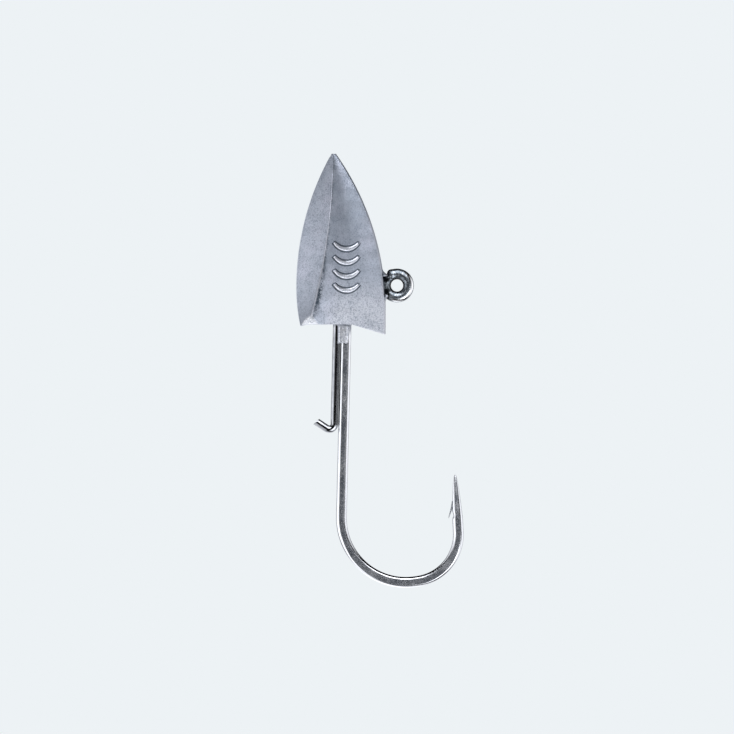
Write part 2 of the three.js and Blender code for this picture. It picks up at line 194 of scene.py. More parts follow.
def base_and_neck(rim):
    """From the rim in over the underside, then down the neck and in under its foot, as two
    grids. Each column heads straight for the middle of the neck, whose outline is a squarish
    superellipse. Two sines round the foot make its end ragged."""
    middle = shank_x(BASE_Z) + NECK_SHIFT
    bearing = np.arctan2(rim[:, 1], rim[:, 0] - middle)
    squareness = (
        np.abs(np.cos(bearing) / NECK_HALF_LENGTH) ** NECK_SQUARENESS
        + np.abs(np.sin(bearing) / NECK_HALF_WIDTH) ** NECK_SQUARENESS
    )
    reach = squareness ** (-1 / NECK_SQUARENESS)
    heading = np.stack([np.cos(bearing), np.sin(bearing)], -1)

    share = ((1 - np.cos(np.pi * np.linspace(0, 1, UNDERSIDE_ROWS))) / 2)[1:, None, None]
    flared = np.array([middle, 0]) + heading * (reach + NECK_FLARE)[:, None]
    flat = rim[:, :2] + (flared - rim[:, :2]) * share
    under = np.concatenate([flat, base_height(flat[..., :1])], -1)

    down = spaced(NECK_STOPS, NECK_GAPS)[1:, None]
    ragged = 0.05 * np.sin(5 * bearing + 1) + 0.04 * np.sin(11 * bearing + 2.3)
    drop = down * (1 + (ragged / NECK_DEPTH) * (down / down[-1]) ** 3)
    flare = NECK_FLARE * (1 - np.clip(down / NECK_FLARE_DEPTH, 0, 1)) ** 2.2
    wide = reach + flare - NECK_TAPER * (down / down[-1]) ** 2
    neck_x = shank_x(BASE_Z - drop) + NECK_SHIFT + wide * np.cos(bearing)
    neck = np.stack([neck_x, wide * np.sin(bearing), BASE_Z - drop], -1)

    end_z = neck[-1, :, 2]
    centre_x = shank_x(end_z) + NECK_SHIFT
    centre = np.stack([centre_x, np.zeros(len(bearing)), end_z + FOOT_DIMPLE], -1)
    closing = (1 - np.linspace(0, 1, FOOT_ROWS)[1:-1, None, None]) ** 0.8
    foot = centre + (neck[-1] - centre) * closing
    return under, np.concatenate([neck, foot])


CORNER_RISE = 0.9
CORNER_RUN = 0.95
CORNER_INSET = 0.35


def cut_corners(points):
    """The bottom corner of each ridge is cut off: what lies beyond the cutting plane is pushed
    back to it, square to the plane."""
    side = np.where(points[..., 1] < 0, -1.0, 1.0)
    high = BASE_Z + CORNER_RISE
    for way in (-1.0, 1.0):
        keel = np.array([KEEL[0], 0, KEEL[1]])
        up = np.array([ridge_line(high), way * RIDGE_Y, high])
        along = np.array([RIDGE_X + CORNER_RUN, way * (RIDGE_Y - CORNER_INSET), BASE_Z])
        outward = np.cross(up - keel, along - keel)
        outward /= np.linalg.norm(outward) * -np.sign(outward[2])
        beyond = np.maximum((points - keel) @ outward, 0) * (side == way)
        points = points - beyond[..., None] * outward
    return points


def soften(points, passes):
    """Each point moves to a quarter, a half and a quarter of itself and its neighbours, round
    the grid and then along it, which rounds every edge as casting does."""
    for _ in range(passes):
        points = (np.roll(points, 1, 1) + 2 * points + np.roll(points, -1, 1)) / 4
        middle = (points[:-2] + 2 * points[1:-1] + points[2:]) / 4
        points = np.concatenate([points[:1], middle, points[-1:]])
    return points


GILL_X = -5.05
GILL_TOP = 4.9
GILL_PITCH = 1.38
GILL_COUNT = 4
GILL_RADIUS = 1.5
GILL_WIDTH = 0.42
GILL_HALF_ANGLE = 62
GILL_END_FADE = (-2, 3)
GILL_HEIGHT = 0.22
GILL_WALL = 0.1


def gill_relief(x, z):
    """Height of the raised crescents over the flank: each is inside one circle and outside the
    same circle moved up by the crescent's width, and ends at an angle to each side."""
    height = np.zeros_like(x)
    for i in range(GILL_COUNT):
        centre_z = GILL_TOP - i * GILL_PITCH
        inner = np.hypot(x - GILL_X, z - centre_z)
        outer = np.hypot(x - GILL_X, z - centre_z - GILL_WIDTH)
        angle = np.degrees(np.arctan2(np.abs(x - GILL_X), centre_z - z))
        crescent = ramp(GILL_RADIUS - inner, -GILL_WALL / 2, GILL_WALL / 2)
        crescent *= ramp(outer - GILL_RADIUS, -GILL_WALL / 2, GILL_WALL / 2)
        crescent *= ramp(GILL_HALF_ANGLE - angle, *GILL_END_FADE)
        height = np.maximum(height, crescent)
    return GILL_HEIGHT * height


PARTING_HEIGHT = 0.03
PARTING_WIDTH = 0.07
FRONTMOST_X = -10.066
FILLET_Z = (1.2, 1.7)
FILLET_FROM_Z = 0.9
FILLET_HALF_WIDTH = (0.3, 0.75)
FILLET_REACH = 0.3
SKIN_WAVE = 0.006


def finish_casting(points):
    """Adds the crescents and what the mould leaves: a fine parting line where its halves met, a
    bell curve in section, lead that crept up the ring of the eye on both sides, and the slow
    unevenness of a hand-poured skin, which is three sines added up."""
    x, y, z = np.moveaxis(points, -1, 0)
    y = y + np.sign(y) * gill_relief(x, z)
    above = z > base_height(x) + 0.1
    at_back = above * (x > back_line(np.maximum(z, BACK_TURN_Z)) - 0.1)
    at_keel = above * (x < ridge_line(z) - 0.3)
    parting = PARTING_HEIGHT * np.exp(-((y / PARTING_WIDTH) ** 2))
    creep = np.clip((FILLET_Z[1] - np.abs(z)) / (FILLET_Z[1] - FILLET_Z[0]), 0, 1.3) ** 2.2
    creep *= ramp(-np.abs(y), -FILLET_HALF_WIDTH[1], -FILLET_HALF_WIDTH[0])
    creep *= np.abs(z) > FILLET_FROM_Z
    x = x + at_back * (parting * (1 - creep) + FILLET_REACH * creep) - at_keel * parting
    wave = np.sin(2.1 * x + 1.3 * z) + np.sin(1.7 * z - 2.3 * x + 0.8) + np.sin(3.9 * z + 0.4)
    y = y + SKIN_WAVE * wave * np.sign(y) * ramp(np.abs(y), 0.1, 0.6)
    return np.stack([np.maximum(x, FRONTMOST_X), y, z], -1)


def enclosed(points, quads):
    """A number with the sign of the volume that a shell of quads encloses: the triple products
    of the corners of each quad's two halves, summed. It's positive when they face outwards."""
    a, b, c, d = (points[quads[:, i]] for i in range(4))
    return np.sum(np.cross(a, b) * c) + np.sum(np.cross(a, c) * d)


def mesh_object(name, points, faces, smooth=True):
    """A mesh object at the origin, from points in millimetres."""
    mesh = bpy.data.meshes.new(name)
    mesh.from_pydata(points * MM, [], faces)
    mesh.polygons.foreach_set("use_smooth", np.full(len(faces), smooth))
    mesh.update()
    made = bpy.data.objects.new(name, mesh)
    bpy.context.scene.collection.objects.link(made)
    return made


def piece(name, shells):
    """A mesh object made of closed shells. Each shell is a grid of points, joined round in every
    row, with a pole that closes it at each end; its faces are turned outwards by its volume."""
    corners, faces, size = [], [], 0
    for grid, pole_a, pole_b in shells:
        rows, around = grid.shape[:2]
        points = np.concatenate([grid.reshape(-1, 3), [pole_a], [pole_b]])
        here = np.arange(around)
        beside = np.roll(here, -1)
        start = (np.arange(rows - 1) * around)[:, None]
        quads = np.stack(
            [start + here, start + beside, start + beside + around, start + here + around], -1
        ).reshape(-1, 4)
        cap_a = np.stack([beside, here, np.full(around, rows * around)], -1)
        end = (rows - 1) * around
        cap_b = np.stack([end + here, end + beside, np.full(around, rows * around + 1)], -1)
        if enclosed(points, quads) < 0:
            quads, cap_a, cap_b = quads[:, ::-1], cap_a[:, ::-1], cap_b[:, ::-1]
        corners.append(points)
        for block in (quads, cap_a, cap_b):
            faces += (block + size).tolist()
        size += len(points)
    return mesh_object(name, np.concatenate(corners), faces)


def mark(made, name, values):
    """Stores one number per point of the mesh, for its material to read."""
    layer = made.data.attributes.new(name, "FLOAT", "POINT")
    layer.data.foreach_set("value", np.asarray(values, np.float32).ravel())


def sharpness(grid, reach):
    """How far each point stands out of the mean of the points around it, along the surface's
    outward side, times 8 and added to a half: more than a half on an edge, less in a corner."""
    padded = np.pad(grid, ((reach, reach), (0, 0), (0, 0)), "edge")
    rows = len(grid)
    mean = (padded[:rows] + padded[2 * reach:]) / 2
    mean = (mean + (np.roll(grid, reach, 1) + np.roll(grid, -reach, 1)) / 2) / 2
    along = np.gradient(grid, axis=0)
    across = np.roll(grid, -1, 1) - np.roll(grid, 1, 1)
    normal = np.cross(across, along)
    normal /= np.linalg.norm(normal, axis=-1, keepdims=True) + 1e-12
    middle = np.array([grid[..., 0].mean(), 0, 0])
    outward = np.sign(np.sum(normal * (grid - middle) * [1, 1, 0], -1, keepdims=True))
    return 0.5 + np.sum((grid - mean) * normal * outward, -1) * 8


# How strongly the low flank, the neck, the crescents and the cut corners get the painted
# highlight.
NECK_SHINE = 0.85
GILL_SHINE = 0.5
FACET_SHINE = 0.9
LOW_FLANK_SHINE = 0.42
LOW_FLANK_Z = (-3.0, 1.5)
# Where the painted shade beside each ridge lies, and how it widens downwards.
CREASE_WIDTH = 0.13
CREASE_WIDENING = 0.16
CREASE_FOOT_Z = (-3.6, -2.8)
# Heights over which the painted shade on the upper flanks grows.
UPPER_SHADE_Z = (-1.5, 6)


def painted_light_places(grid, cut_depth):
    """Three shares from 0 to 1 for each point of the head, all painted light. The painted sheen,
    a painted highlight, is the most of the low flank, the neck, the crescents and the cut
    corners.
    The crease shade, painted shade, is a bell curve beside each ridge, wider and stronger
    downwards. The upper shade, painted shade, grows with height on the flanks and falls towards
    the back."""
    x, _, z = np.moveaxis(grid, -1, 0)
    past_ridge = x - ridge_line(z)
    on_flank = ramp(past_ridge, 0.0, 0.3) * (z > base_height(x) - 0.1)
    low_flank = LOW_FLANK_SHINE * ramp(-z, -LOW_FLANK_Z[1], -LOW_FLANK_Z[0])
    low_flank = low_flank * ramp(past_ridge, 0.8, 3.0) * on_flank
    on_neck = NECK_SHINE * (z < base_height(x) - 0.15)
    on_gills = GILL_SHINE * gill_relief(x, z) / GILL_HEIGHT
    by_corner = (z < BASE_Z + CORNER_RISE) * (x < RIDGE_X + CORNER_RUN) * (past_ridge > -0.8)
    on_facet = FACET_SHINE * by_corner * cut_depth
    painted_sheen = np.maximum.reduce([low_flank, on_neck, on_gills, on_facet])
    width = CREASE_WIDTH + CREASE_WIDENING * ramp(-z, -4, 1.5)
    crease_shade = np.exp(-(((past_ridge - 0.85 * width) / width) ** 2))
    crease_shade *= ramp(z, *CREASE_FOOT_Z) * (0.4 + 0.6 * ramp(-z, -5, 0))
    upper_shade = on_flank * ramp(z, *UPPER_SHADE_Z) * (1 - 0.45 * ramp(past_ridge, 1.0, 5.0))
    return painted_sheen, crease_shade, upper_shade


sides = head_sides()
under, neck = base_and_neck(sides[-1])
uncut = np.concatenate([sides, under])
casting = cut_corners(uncut)
cut_depth = ramp(np.linalg.norm(uncut - casting, axis=-1), 0.0, 0.06)
cut_depth = np.concatenate([cut_depth, np.zeros(neck.shape[:2])])
head_grid = finish_casting(soften(np.concatenate([casting, neck]), 2))
edges = np.clip(sharpness(head_grid, 2), 0, 1)
painted_sheen, crease_shade, upper_shade = painted_light_places(head_grid, cut_depth)

lead_weight = piece("lead_weight", [(head_grid, head_grid[0].mean(0), head_grid[-1].mean(0))])
mark(lead_weight, "edge", np.concatenate([edges.ravel(), [0.5, 0.5]]))
# Painted light for the material: a painted highlight, and painted shade beside the ridges and on
# the upper flanks.
mark(lead_weight, "painted_sheen", np.concatenate([painted_sheen.ravel(), [0, 1]]))
mark(lead_weight, "crease_shade", np.concatenate([crease_shade.ravel(), [0, 0]]))
mark(lead_weight, "upper_shade", np.concatenate([upper_shade.ravel(), [0, 0]]))


def node(tree, kind, sockets=None, **settings):
    """Adds a node to a tree. A socket given another node's output is linked to it, and a socket
    given anything else is set to it."""
    made = tree.nodes.new(kind)
    for key, value in settings.items():
        setattr(made, key, value)
    for key, value in (sockets or {}).items():
        if isinstance(value, bpy.types.NodeSocket):
            tree.links.new(value, made.inputs[key])
        else:
            made.inputs[key].default_value = value
    return made


def grain(tree, where, scale, detail=4.0, rough=0.6):
    """Fractal noise, with as many features to the unit of its coordinates as the scale says."""
    sockets = {"Vector": where, "Scale": scale, "Detail": detail, "Roughness": rough}
    return node(tree, "ShaderNodeTexNoise", sockets).outputs["Fac"]


def shades(tree, factor, stops):
    """A colour ramp: pairs of a position and a linear RGB colour."""
    made = node(tree, "ShaderNodeValToRGB", {"Fac": factor})
    band = made.color_ramp
    while len(band.elements) < len(stops):
        band.elements.new(0.5)
    for element, (position, colour) in zip(band.elements, stops):
        element.position = position
        element.color = (*colour, 1)
    return made.outputs["Color"]


def blend(tree, factor, a, b):
    """Two colours mixed: the first where the factor is 0, the second where it's 1."""
    made = node(tree, "ShaderNodeMix", {0: factor}, data_type="RGBA")
    for key, value in ((6, a), (7, b)):
        if isinstance(value, bpy.types.NodeSocket):
            tree.links.new(value, made.inputs[key])
        else:
            made.inputs[key].default_value = (*value, 1)
    return made.outputs[2]


def ranged(tree, value, from_low, from_high, to_low, to_high):
    """A value carried from one range to another by a straight line, and held inside it."""
    sockets = {
        "Value": value,
        "From Min": from_low,
        "From Max": from_high,
        "To Min": to_low,
        "To Max": to_high,
    }
    return node(tree, "ShaderNodeMapRange", sockets).outputs["Result"]


def maths(tree, what, a, b):
    """Two values or outputs joined by one operation, such as ADD or MULTIPLY."""
    return node(tree, "ShaderNodeMath", {0: a, 1: b}, operation=what).outputs[0]


def bumped(tree, height, distance, strength):
    """The surface's normal, tilted by the slope of a height. The distance is in metres."""
    sockets = {"Height": height, "Distance": distance, "Strength": strength}
    return node(tree, "ShaderNodeBump", sockets).outputs["Normal"]


def attribute(tree, name):
    """The number that mark() stored under a name."""
    return node(tree, "ShaderNodeAttribute", attribute_name=name).outputs["Fac"]


def new_material(name):
    """A material with a metal shader, its tree, and the Object coordinates to build on."""
    made = bpy.data.materials.new(name)
    made.use_nodes = True
    tree = made.node_tree
    tree.nodes.clear()
    shader = node(tree, "ShaderNodeBsdfPrincipled", {"Metallic": 1.0})
    node(tree, "ShaderNodeOutputMaterial", {"Surface": shader.outputs["BSDF"]})
    where = node(tree, "ShaderNodeTexCoord").outputs["Object"]
    return made, tree, shader, where


CLOUDY_LEAD = [
    (0.34, (0.45, 0.49, 0.55)),
    (0.5, (0.51, 0.545, 0.605)),
    (0.66, (0.56, 0.58, 0.65)),
]
# Dark grey, for painted shade on the upper flanks.
UPPER_SHADE_LEAD = (0.24, 0.28, 0.33)
# Nearly white, for the painted highlight.
SHEEN_LEAD = (0.98, 0.99, 1.0)
STAINED_LEAD = (0.34, 0.38, 0.43)
GRITTY_LEAD = (0.24, 0.27, 0.32)
# Nearly black, for painted shade beside the ridges and in the corners.
PAINTED_SHADE_LEAD = (0.05, 0.065, 0.08)
POLISHED_LEAD = (0.8, 0.81, 0.85)


def as_cast_lead():
    """As-cast lead alloy: bluish grey in clouds, sandy from the mould and polished a little along
    its edges. Painted shade darkens its upper flanks in patches, beside its ridges and in its
    corners, and a painted highlight lightens its low flank, neck, crescents and cut corners."""
    made, tree, shader, where = new_material("as_cast_lead")
    clouds = grain(tree, where, 300.0, 3.0, 0.55)
    blotches = grain(tree, where, 1300.0, 5.0, 0.7)
    sand = grain(tree, where, 7500.0, 2.0, 0.6)
    edge = attribute(tree, "edge")
    crease_shade = attribute(tree, "crease_shade")

    cloudy = shades(tree, clouds, CLOUDY_LEAD)
    # Painted shade, darker towards the top of the flanks and towards the ridge, in patches.
    patchy = ranged(tree, blotches, 0.35, 0.6, 0.3, 0.65)
    upper_shade = maths(tree, "MULTIPLY", attribute(tree, "upper_shade"), patchy)
    colour = blend(tree, upper_shade, cloudy, UPPER_SHADE_LEAD)
    # Painted highlight on the low flank, the neck, the crescents and the cut corners, broken up
    # by the sand.
    sheen_mottle = ranged(tree, sand, 0.4, 0.6, 1.1, 0.6)
    painted_sheen = maths(tree, "MULTIPLY", attribute(tree, "painted_sheen"), sheen_mottle)
    colour = blend(tree, painted_sheen, colour, SHEEN_LEAD)
    stained = ranged(tree, blotches, 0.46, 0.66, 0.0, 0.4)
    colour = blend(tree, stained, colour, STAINED_LEAD)
    grit = ranged(tree, sand, 0.47, 0.62, 0.0, 0.75)
    gritty = maths(tree, "MULTIPLY", grit, ranged(tree, blotches, 0.4, 0.6, 0.5, 1.0))
    colour = blend(tree, gritty, colour, GRITTY_LEAD)
    # Painted shade beside each ridge and in the hollow corners, broken up by the blotches and the
    # sand.
    broken = maths(tree, "ADD", blotches, maths(tree, "MULTIPLY", sand, 0.6))
    crease_shade = maths(tree, "MULTIPLY", crease_shade, ranged(tree, broken, 0.64, 0.9, 0.2, 1.1))
    corner_shade = maths(tree, "MAXIMUM", crease_shade, ranged(tree, edge, 0.33, 0.48, 0.9, 0.0))
    colour = blend(tree, corner_shade, colour, PAINTED_SHADE_LEAD)
    on_edges = ranged(tree, edge, 0.56, 0.78, 0.0, 0.75)
    colour = blend(tree, on_edges, colour, POLISHED_LEAD)
    tree.links.new(colour, shader.inputs["Base Color"])

    matt = ranged(tree, sand, 0.3, 0.7, 0.42, 0.56)
    rough = maths(tree, "SUBTRACT", matt, ranged(tree, edge, 0.53, 0.75, 0.0, 0.14))
    tree.links.new(rough, shader.inputs["Roughness"])
    pits = maths(tree, "ADD", sand, maths(tree, "MULTIPLY", blotches, 1.5))
    tree.links.new(bumped(tree, pits, 0.00003, 0.5), shader.inputs["Normal"])
    return made


lead_weight.data.materials.append(as_cast_lead())
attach(lead_weight, "root")
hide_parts("lead_head")

# ---- The hook ----
# One length of tinned high-carbon steel wire: a leg cast in the lead, the shank, the round bend
# and a ground point. The bare wire is forged flat on both sides, and the barb is a sliver that
# a chisel raised from the inside of the point.

LEG_START_X = -2.4
LEG_BEND = 1.8
SHANK_LENGTH = 23.1
HEEL_BEND = (6.43, 99.5)
BEND_FLAT = 0.3
FRONT_BEND = (4.73, 85.2)
POINT_LEG = 5.78
HOOK_STEP = 0.11
HOOK_SIDES = 64


def wire_line(start, heading, legs, step):
    """The middle line of a bent wire, as its points, headings and lengths. Each leg is a length
    and a turn in degrees; the heading changes evenly along a leg, so a leg that turns is a
    circle's arc, and the points are the running sum of short steps along the heading."""
    lengths = np.array([leg[0] for leg in legs])
    turns = np.radians([leg[1] for leg in legs])
    marks = np.concatenate([[0], np.cumsum(lengths)])
    headings = np.radians(heading) + np.concatenate([[0], np.cumsum(turns)])
    along = np.linspace(0, marks[-1], int(round(marks[-1] / step)) + 1)
    course = np.interp(along, marks, headings)
    between = np.interp((along[1:] + along[:-1]) / 2, marks, headings)
    steps = np.diff(along)
    x = start[0] + np.concatenate([[0], np.cumsum(np.cos(between) * steps)])
    z = start[1] + np.concatenate([[0], np.cumsum(np.sin(between) * steps)])
    return np.stack([x, z], -1), course, along


def arc(radius, degrees):
    """A leg that bends: its length is its radius times its angle, and its turn is the angle."""
    return (radius * abs(np.radians(degrees)), degrees)


def round_angles(count):
    """Angles in equal steps round a circle."""
    return np.radians(np.arange(count) * 360 / count)


def carried(line, course, inward, aside):
    """A profile carried along a line in the plane of the hook. At each station inward is the
    offset to the left of the heading, and aside the offset along Y."""
    x = line[:, :1] - inward * np.sin(course)[:, None]
    z = line[:, 1:] + inward * np.cos(course)[:, None]
    return np.stack([x, aside, z], -1)


def flattened(aside, half, crispness):
    """Offsets held inside the flats, with a soft edge: the smooth minimum of their size and the
    half thickness."""
    least = -crispness * np.logaddexp(-np.abs(aside) / crispness, -half / crispness)
    return np.sign(aside) * np.maximum(least, 0)


leg_turn = 90 - np.degrees(SHANK_LEAN)
corner = LEG_BEND * np.tan(np.radians(leg_turn) / 2)
hook_line, hook_course, hook_along = wire_line(
    (LEG_START_X, 0),
    180,
    [
        (LEG_START_X - SHANK_X - corner, 0),
        arc(LEG_BEND, leg_turn),
        (SHANK_LENGTH - corner, 0),
        arc(*HEEL_BEND),
        (BEND_FLAT, 0),
        arc(*FRONT_BEND),
        (POINT_LEG, 0),
    ],
    HOOK_STEP,
)
from_tip = hook_along[-1] - hook_along
# The last station has no width, so the pole at the tip stands in for it.
hook_line, hook_course = hook_line[:-1], hook_course[:-1]
hook_along, from_tip = hook_along[:-1], from_tip[:-1]

POINT_TAPER = 4.45
FLAT_HALF = 0.485
FLAT_EDGE = 0.024
FLAT_WANDER = 0.004
FLATS_FROM_Z = -5.1
UNPRESSED_HALF = 0.7
BEND_PRESS = 0.055
BEND_PRESS_Z = (-28.3, -25)
NOTCH_DEPTH = 0.13
NOTCH_FROM_TIP = 4.12
NOTCH_LENGTH = 0.26
TIP_PAST = (-0.001, 0, 0.012)
# Heights where the painted shade on the shank fades out, at the keeper's bend.
SHANK_SHADE_Z = (-13.9, -13.4)

# The ground point is a parabola: its radius goes with the square root of the way from the tip.
hook_radius = WIRE_RADIUS * np.sqrt(np.clip(from_tip, 0, POINT_TAPER) / POINT_TAPER)
hook_around = round_angles(HOOK_SIDES)


def pressed_half():
    """Half the thickness that the dies left at each station, a little uneven. It's less at the
    foot of the bend, less again where the point is ground, and more than the wire's own radius,
    so no flat at all, where the shank is in the lead."""
    depth = -hook_line[:, 1]
    wander = FLAT_WANDER * (np.sin(hook_along * 2.3) + np.sin(hook_along * 5.1 + 1))
    bend_flat = FLAT_HALF - BEND_PRESS * ramp(depth, -BEND_PRESS_Z[1], -BEND_PRESS_Z[0])
    half = np.minimum(bend_flat + wander, 0.9 * hook_radius)
    bare = ramp(depth, -FLATS_FROM_Z - 0.1, -FLATS_FROM_Z + 0.5)
    bare = np.maximum(bare, hook_line[:, 0] > 0)
    return half * bare + UNPRESSED_HALF * (1 - bare)


def hook_skin(half_flat):
    """A circle carried along the hook's line and held inside the flats, less the notch that the
    chisel left under the barb, a bell curve along the point on its inner side."""
    notch = NOTCH_DEPTH * np.exp(-(((from_tip - NOTCH_FROM_TIP) / NOTCH_LENGTH) ** 2))
    inward = hook_radius[:, None] * np.cos(hook_around)
    inward -= notch[:, None] * np.clip(np.cos(hook_around), 0, 1) ** 1.5
    aside = flattened(hook_radius[:, None] * np.sin(hook_around), half_flat[:, None], FLAT_EDGE)
    return carried(hook_line, hook_course, inward, aside)


BARB_ROOT = 2.7
BARB_TIP = 4.42
BARB_STAND = 0.38
BARB_SUNK = 0.1
BARB_ROWS = 40
BARB_SIDES = 24
BARB_END_PAST = (-0.012, 0, -0.02)


def barb_sliver():
    """The barb as a grid of ellipses along the point's own line. Its middle goes from under the
    point's skin to its stand above it, and both its axes shrink to its tip, all by powers of
    the share of the way."""
    share = np.linspace(0, 1, BARB_ROWS)[:-1]
    reach = BARB_ROOT + (BARB_TIP - BARB_ROOT) * share
    course = hook_course[-1]
    ahead = np.array([np.cos(course), np.sin(course)])
    line = hook_line[-1] - (reach - from_tip[-1])[:, None] * ahead
    skin = WIRE_RADIUS * np.sqrt(reach / POINT_TAPER)
    rise = skin - BARB_SUNK + (BARB_STAND + BARB_SUNK) * share**1.25
    half_depth = 0.02 + 0.13 * (1 - share) ** 0.9
    half_width = 0.05 + 0.2 * (1 - share) ** 0.7
    angles = round_angles(BARB_SIDES)
    inward = rise[:, None] + half_depth[:, None] * np.cos(angles)
    return carried(line, np.full(len(line), course), inward, half_width[:, None] * np.sin(angles))


def mark_run(made, grids):
    """Stores where each point is on its wire: its share of a turn round it, and how far along
    it is in millimetres, the running sum of the steps between the middles of the rows."""
    turns, lengths = [], []
    for grid in grids:
        rows, around = grid.shape[:2]
        steps = np.linalg.norm(np.diff(grid.mean(1), axis=0), axis=-1)
        along = np.concatenate([[0], np.cumsum(steps)])
        turns.append(np.concatenate([np.tile(np.arange(around) / around, rows), [0, 0]]))
        lengths.append(np.concatenate([np.repeat(along, around), [0, along[-1]]]))
    mark(made, "round", np.concatenate(turns))
    mark(made, "along", np.concatenate(lengths))


half_flat = pressed_half()
hook_grid = hook_skin(half_flat)
barb_grid = barb_sliver()
hook = piece(
    "forged_hook",
    [
        (hook_grid, hook_grid[0].mean(0), hook_grid[-1].mean(0) + TIP_PAST),
        (barb_grid, barb_grid[0].mean(0), barb_grid[-1].mean(0) + BARB_END_PAST),
    ],
)
past_flat = np.abs(hook_radius[:, None] * np.sin(hook_around)) - half_flat[:, None]
flats = ramp(past_flat, -0.015, 0.03)
on_barb = np.ones(barb_grid.shape[:2])
mark(hook, "flat", np.concatenate([flats.ravel(), [0, 0], on_barb.ravel(), [0, 0]]))
# Painted shade: the side of the shank that faces the keeper is painted black.
beside_keeper = ramp(hook_line[:, 1], *SHANK_SHADE_Z) * (hook_line[:, 0] < -3)
facing_keeper = ramp(-np.cos(hook_around), 0.88, 0.98) * beside_keeper[:, None]
elsewhere = np.zeros(barb_grid.shape[0] * barb_grid.shape[1] + 4)
mark(hook, "gap_shade", np.concatenate([facing_keeper.ravel(), elsewhere]))
mark_run(hook, [hook_grid, barb_grid])

BRIGHT_TIN = [(0.35, (0.78, 0.79, 0.8)), (0.65, (0.93, 0.94, 0.95))]
SATIN_TIN = [
    (0.36, (0.17, 0.185, 0.205)),
    (0.5, (0.33, 0.345, 0.36)),
    (0.64, (0.58, 0.59, 0.6)),
]
DARK_SPECKS = (0.13, 0.14, 0.155)
BRIGHT_SPECKS = (0.85, 0.86, 0.88)
# Black, for painted shade between the wires and on the eye.
BLACK_SHADE = (0.012, 0.014, 0.016)


def drawn_lines(tree, count_round, count_along):
    """Noise drawn out along a wire, with so many features round it and so many to the
    millimetre along it."""
    sockets = {"X": attribute(tree, "round"), "Y": attribute(tree, "along")}
    run = node(tree, "ShaderNodeCombineXYZ", sockets).outputs[0]
    sockets = {0: run, 1: (count_round, count_along, 1.0)}
    stretched = node(tree, "ShaderNodeVectorMath", sockets, operation="MULTIPLY").outputs[0]
    return grain(tree, stretched, 1.0, 3.0, 0.6)


def tinned_steel():
    """Tinned hook wire: bright on its rounds with faint lines along it, and satin grey with dark
    and bright specks where the forging dies pressed it flat. The side of the shank that faces
    the keeper is painted black, painted shade between the wires."""
    made, tree, shader, where = new_material("tinned_steel")
    flat = attribute(tree, "flat")
    blotches = grain(tree, where, 900.0, 5.0, 0.65)
    speckle = grain(tree, where, 7000.0, 3.0, 0.6)
    lines = drawn_lines(tree, 26.0, 0.9)

    bright = shades(tree, lines, BRIGHT_TIN)
    satin = shades(tree, blotches, SATIN_TIN)
    satin = blend(tree, ranged(tree, speckle, 0.44, 0.6, 0.0, 0.7), satin, DARK_SPECKS)
    satin = blend(tree, ranged(tree, speckle, 0.44, 0.34, 0.0, 0.6), satin, BRIGHT_SPECKS)
    clean = blend(tree, flat, bright, satin)
    # Painted shade, black, on the side of the shank that faces the keeper.
    colour = blend(tree, attribute(tree, "gap_shade"), clean, BLACK_SHADE)
    tree.links.new(colour, shader.inputs["Base Color"])

    smooth = ranged(tree, lines, 0.3, 0.7, 0.13, 0.22)
    matt = ranged(tree, speckle, 0.3, 0.7, 0.34, 0.5)
    rough = node(tree, "ShaderNodeMix", {0: flat, 2: smooth, 3: matt}, data_type="FLOAT")
    tree.links.new(rough.outputs[0], shader.inputs["Roughness"])
    height = maths(tree, "MULTIPLY", speckle, maths(tree, "ADD", flat, 0.15))
    tree.links.new(bumped(tree, height, 0.000012, 0.5), shader.inputs["Normal"])
    return made


hook.data.materials.append(tinned_steel())
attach(hook, "root")
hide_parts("hook")

# ---- The line eye ----
# The ring at the end of the same wire, bent round until its cut end meets the leg at the back
# edge of the head. The heat of the lead darkened it. A painted highlight runs along its outer
# shoulders, most of all low down and away from the head, and painted black shade lies in its
# bore and beside the lead.

CUT_END_ANGLE = 116
CUT_END_WIDTH = 8
SEAM_ANGLE = 133
SEAM_WIDTH = 6
NUB = 0.07
SEAM_DEPTH = 0.16
EYE_ROWS = 144
EYE_SIDES = 56
# Where round the ring the painted highlight is strongest.
HIGHLIGHT_SIDE = np.radians(-30)

eye_turn = round_angles(EYE_ROWS)[:, None]
eye_around = round_angles(EYE_SIDES)


def bump_at(turned, centre, width):
    """A bell curve round the ring, in degrees."""
    apart = (np.degrees(turned) - centre + 180) % 360 - 180
    return np.exp(-((apart / width) ** 2))


def eye_ring():
    """A ring with the wire's section, as a grid: a torus whose wire swells at its cut end and
    thins at the seam beside it, on the outer side."""
    swelling = NUB * bump_at(eye_turn, CUT_END_ANGLE, CUT_END_WIDTH)
    swelling = swelling - SEAM_DEPTH * bump_at(eye_turn, SEAM_ANGLE, SEAM_WIDTH)
    wire = WIRE_RADIUS + swelling * (0.5 + 0.5 * np.cos(eye_around))
    reach = EYE_RADIUS + wire * np.cos(eye_around)
    aside = wire * np.sin(eye_around)
    return np.stack([reach * np.cos(eye_turn), aside, reach * np.sin(eye_turn)], -1)


def ring_piece(name, grid):
    """A mesh object from a grid that closes on itself both ways, with its faces turned outwards
    by its volume."""
    rows, around = grid.shape[:2]
    index = np.arange(rows * around).reshape(rows, around)
    ahead, beside = np.roll(index, -1, 0), np.roll(index, -1, 1)
    quads = np.stack([index, beside, np.roll(ahead, -1, 1), ahead], -1).reshape(-1, 4)
    points = grid.reshape(-1, 3)
    if enclosed(points, quads) < 0:
        quads = quads[:, ::-1]
    return mesh_object(name, points, quads.tolist())


eye_grid = eye_ring()
line_eye = ring_piece("line_eye", eye_grid)
